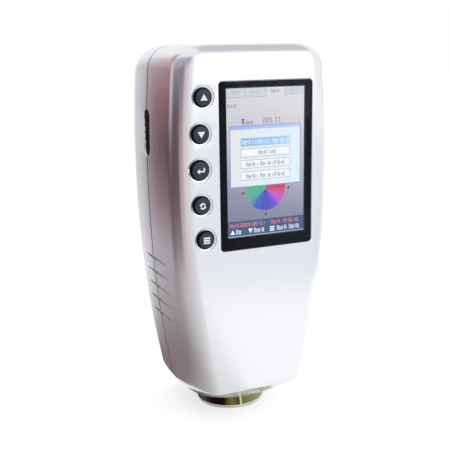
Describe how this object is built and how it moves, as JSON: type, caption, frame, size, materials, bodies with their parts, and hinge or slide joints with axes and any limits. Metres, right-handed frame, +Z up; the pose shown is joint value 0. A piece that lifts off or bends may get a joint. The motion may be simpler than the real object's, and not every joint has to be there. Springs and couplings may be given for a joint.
{
  "type": "hand-held colorimeter",
  "caption": "Upright hand-held colorimeter that stands on a round measuring nose, with a tall display window, a column of round keys and a side measure key.",
  "frame": {"origin": "middle of the whole instrument's footprint, on the surface that the nose stands on", "axes": "+Z up along the instrument, away from the measuring nose; +Y from the display to the back; +X to the right of someone who reads the display"},
  "size_m": [0.0736, 0.063, 0.1657],
  "materials": {
    "silver_paint": "satin silver paint with fine metal flake on moulded plastic",
    "window_black": "clear sheet printed black on its inner side, polished",
    "display_lit": "lit display panel",
    "frame_grey": "moulded, fine texture",
    "key_black": "satin black moulded plastic",
    "board_green": "green solder mask",
    "plain_steel": "zinc-plated steel",
    "nose_mirror": "mirror-bright plating",
    "rim_satin": "turned, satin",
    "sphere_white": "matt white",
    "lens_glass": "polished, clear",
    "lamp_clear": "clear domed, warm tint",
    "battery_blue": "shrink film",
    "lead_red": "insulated wire pair",
    "ribbon_amber": "amber film"
  },
  "bodies": {
    "case": {"front_shell": "silver_paint", "rear_shell": "silver_paint", "display_window": "window_black", "display_module": "display_lit", "display_frame": "frame_grey", "display_connector": "sphere_white", "display_ribbon": "ribbon_amber", "main_board": "board_green", "processor_shield": "plain_steel", "buzzer": "key_black", "up_switch": "plain_steel", "down_switch": "plain_steel", "enter_switch": "plain_steel", "back_switch": "plain_steel", "menu_switch": "plain_steel", "measure_switch": "plain_steel", "measure_card": "board_green", "port_card": "board_green", "power_switch": "plain_steel", "charge_socket": "plain_steel", "battery_pack": "battery_blue", "battery_pad": "frame_grey", "battery_plug": "sphere_white", "battery_lead": "lead_red", "nose_ring": "nose_mirror", "aperture_plate": "rim_satin", "sphere_lower": "sphere_white", "sphere_upper": "sphere_white", "optics_bracket": "plain_steel", "lens_tube": "key_black", "lens": "lens_glass", "sensor_board": "board_green", "sensor_chip": "key_black", "lamp_board": "board_green", "lamp": "lamp_clear", "sensor_socket": "sphere_white", "sensor_ribbon": "ribbon_amber", "case_screw_1": "plain_steel", "case_screw_2": "plain_steel", "case_screw_3": "plain_steel", "case_screw_4": "plain_steel", "board_screw_1": "plain_steel", "board_screw_2": "plain_steel", "board_screw_3": "plain_steel", "board_screw_4": "plain_steel", "optics_screw_1": "plain_steel", "optics_screw_2": "plain_steel"},
    "up_key": {"up_key": "key_black"},
    "down_key": {"down_key": "key_black"},
    "enter_key": {"enter_key": "key_black"},
    "back_key": {"back_key": "key_black"},
    "menu_key": {"menu_key": "key_black"},
    "measure_key": {"measure_key": "key_black"},
    "power_slider": {"power_slider": "key_black"}
  },
  "joints": [
    {"name": "up_press", "type": "slide", "parent": "case", "child": "up_key", "axis": [0, 1, 0], "range_m": [0, 0.0006], "stiffness_N_per_m": 300},
    {"name": "down_press", "type": "slide", "parent": "case", "child": "down_key", "axis": [0, 1, 0], "range_m": [0, 0.0006], "stiffness_N_per_m": 300},
    {"name": "enter_press", "type": "slide", "parent": "case", "child": "enter_key", "axis": [0, 1, 0], "range_m": [0, 0.0006], "stiffness_N_per_m": 300},
    {"name": "back_press", "type": "slide", "parent": "case", "child": "back_key", "axis": [0, 1, 0], "range_m": [0, 0.0006], "stiffness_N_per_m": 300},
    {"name": "menu_press", "type": "slide", "parent": "case", "child": "menu_key", "axis": [0, 1, 0], "range_m": [0, 0.0006], "stiffness_N_per_m": 300},
    {"name": "measure_press", "type": "slide", "parent": "case", "child": "measure_key", "axis": [1, 0, 0], "range_m": [0, 0.0006], "stiffness_N_per_m": 400},
    {"name": "power_slide", "type": "slide", "parent": "case", "child": "power_slider", "axis": [0, 0, 1], "range_m": [0, 0.004]}
  ]
}
